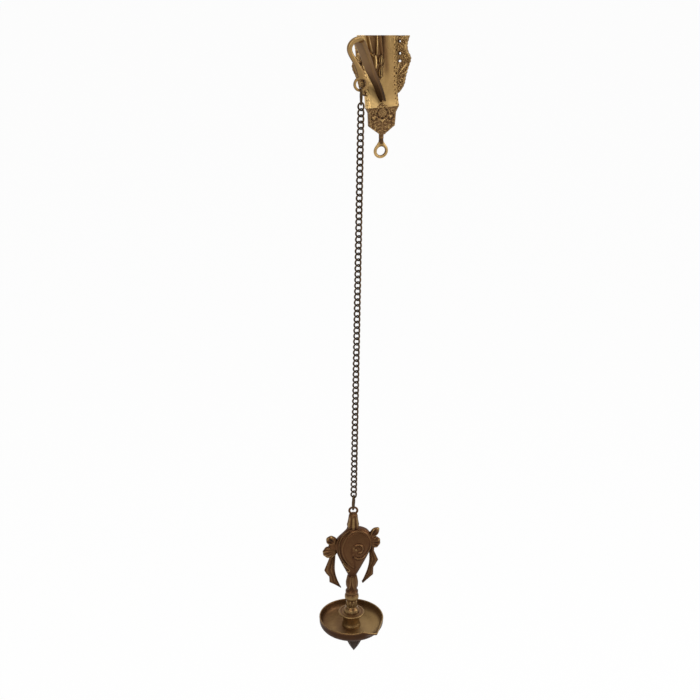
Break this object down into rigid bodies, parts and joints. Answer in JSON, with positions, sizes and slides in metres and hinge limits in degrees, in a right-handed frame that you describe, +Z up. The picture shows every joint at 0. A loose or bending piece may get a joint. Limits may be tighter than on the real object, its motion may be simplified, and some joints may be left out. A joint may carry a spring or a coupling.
{
  "type": "hanging oil lamp",
  "caption": "Wall bracket with a crook hook and a long curb chain that carries a conch-shaped lamp stem over a round oil dish with a pouring lip.",
  "frame": {"origin": "on the back of the wall rib, in the wall's plane, level with the hole for the wall hook", "axes": "+Z up, +Y into the wall, so the front looks along -Y, and +X to the viewer's right"},
  "size_m": [0.0976, 0.0882, 0.692],
  "materials": {
    "bright_brass": "cast, rubbed bright",
    "brown_brass": "cast, brown patina",
    "chain_bronze": "drawn wire, dark patina",
    "dish_brass": "turned, worn patina"
  },
  "bodies": {
    "bracket": {"wall_rib": "brown_brass", "back_plate": "bright_brass", "foot_panel": "brown_brass", "tail_eye": "bright_brass", "left_wing": "brown_brass", "right_wing": "brown_brass", "centre_relief": "brown_brass", "lotus_bud": "bright_brass", "brace_arm": "brown_brass", "crook_hook": "bright_brass", "plate_rivets": "bright_brass", "arm_rivets": "bright_brass"},
    "top_connector": {"top_connector": "chain_bronze"},
    "chain_01": {"chain_01": "chain_bronze"},
    "chain_02": {"chain_02": "chain_bronze"},
    "chain_03": {"chain_03": "chain_bronze"},
    "chain_04": {"chain_04": "chain_bronze"},
    "chain_05": {"chain_05": "chain_bronze"},
    "chain_06": {"chain_06": "chain_bronze"},
    "chain_07": {"chain_07": "chain_bronze"},
    "chain_08": {"chain_08": "chain_bronze"},
    "chain_09": {"chain_09": "chain_bronze"},
    "chain_10": {"chain_10": "chain_bronze"},
    "chain_11": {"chain_11": "chain_bronze"},
    "chain_12": {"chain_12": "chain_bronze"},
    "chain_13": {"chain_13": "chain_bronze"},
    "chain_14": {"chain_14": "chain_bronze"},
    "bottom_connector": {"bottom_connector": "chain_bronze"},
    "lamp": {"hanger_eye": "brown_brass", "conch_shell": "brown_brass", "left_sash": "brown_brass", "right_sash": "brown_brass", "sash_pins": "bright_brass", "leaf_baluster": "brown_brass", "bead_ring": "bright_brass", "carved_neck": "brown_brass", "base_flange": "dish_brass", "oil_dish": "dish_brass", "tie_rod": "bright_brass", "finial": "brown_brass"}
  },
  "joints": [
    {"name": "top_connector_swing", "type": "hinge", "parent": "bracket", "child": "top_connector", "pos_m": [-0.0308, -0.045, -0.02705], "axis": [1, 0, 0], "range_deg": [-40, 10]},
    {"name": "chain_01_sway", "type": "hinge", "parent": "top_connector", "child": "chain_01", "pos_m": [-0.0308, -0.045, -0.0412], "axis": [0.309, 0.9511, 0], "range_deg": [-12, 12]},
    {"name": "chain_02_swing", "type": "hinge", "parent": "chain_01", "child": "chain_02", "pos_m": [-0.0308, -0.045, -0.0707], "axis": [0.9511, -0.309, 0], "range_deg": [-12, 12]},
    {"name": "chain_03_twist", "type": "hinge", "parent": "chain_02", "child": "chain_03", "pos_m": [-0.0308, -0.045, -0.10145], "axis": [0, 0, 1], "range_deg": [-12, 12]},
    {"name": "chain_04_sway", "type": "hinge", "parent": "chain_03", "child": "chain_04", "pos_m": [-0.0308, -0.045, -0.1322], "axis": [0.309, 0.9511, 0], "range_deg": [-12, 12]},
    {"name": "chain_05_swing", "type": "hinge", "parent": "chain_04", "child": "chain_05", "pos_m": [-0.0308, -0.045, -0.16295], "axis": [0.9511, -0.309, 0], "range_deg": [-12, 12]},
    {"name": "chain_06_twist", "type": "hinge", "parent": "chain_05", "child": "chain_06", "pos_m": [-0.0308, -0.045, -0.1937], "axis": [0, 0, 1], "range_deg": [-12, 12]},
    {"name": "chain_07_sway", "type": "hinge", "parent": "chain_06", "child": "chain_07", "pos_m": [-0.0308, -0.045, -0.22445], "axis": [0.309, 0.9511, 0], "range_deg": [-12, 12]},
    {"name": "chain_08_swing", "type": "hinge", "parent": "chain_07", "child": "chain_08", "pos_m": [-0.0308, -0.045, -0.2552], "axis": [0.9511, -0.309, 0], "range_deg": [-12, 12]},
    {"name": "chain_09_twist", "type": "hinge", "parent": "chain_08", "child": "chain_09", "pos_m": [-0.0308, -0.045, -0.28595], "axis": [0, 0, 1], "range_deg": [-12, 12]},
    {"name": "chain_10_sway", "type": "hinge", "parent": "chain_09", "child": "chain_10", "pos_m": [-0.0308, -0.045, -0.3167], "axis": [0.309, 0.9511, 0], "range_deg": [-12, 12]},
    {"name": "chain_11_swing", "type": "hinge", "parent": "chain_10", "child": "chain_11", "pos_m": [-0.0308, -0.045, -0.34745], "axis": [0.9511, -0.309, 0], "range_deg": [-12, 12]},
    {"name": "chain_12_twist", "type": "hinge", "parent": "chain_11", "child": "chain_12", "pos_m": [-0.0308, -0.045, -0.3782], "axis": [0, 0, 1], "range_deg": [-12, 12]},
    {"name": "chain_13_sway", "type": "hinge", "parent": "chain_12", "child": "chain_13", "pos_m": [-0.0308, -0.045, -0.40895], "axis": [0.309, 0.9511, 0], "range_deg": [-12, 12]},
    {"name": "chain_14_swing", "type": "hinge", "parent": "chain_13", "child": "chain_14", "pos_m": [-0.0308, -0.045, -0.4397], "axis": [0.9511, -0.309, 0], "range_deg": [-12, 12]},
    {"name": "bottom_connector_swing", "type": "hinge", "parent": "chain_14", "child": "bottom_connector", "pos_m": [-0.0308, -0.045, -0.47025], "axis": [0.9511, -0.309, 0], "range_deg": [-12, 12]},
    {"name": "lamp_sway", "type": "hinge", "parent": "bottom_connector", "child": "lamp", "pos_m": [-0.0308, -0.045, -0.48565], "axis": [0.309, 0.9511, 0], "range_deg": [-25, 25]}
  ]
}
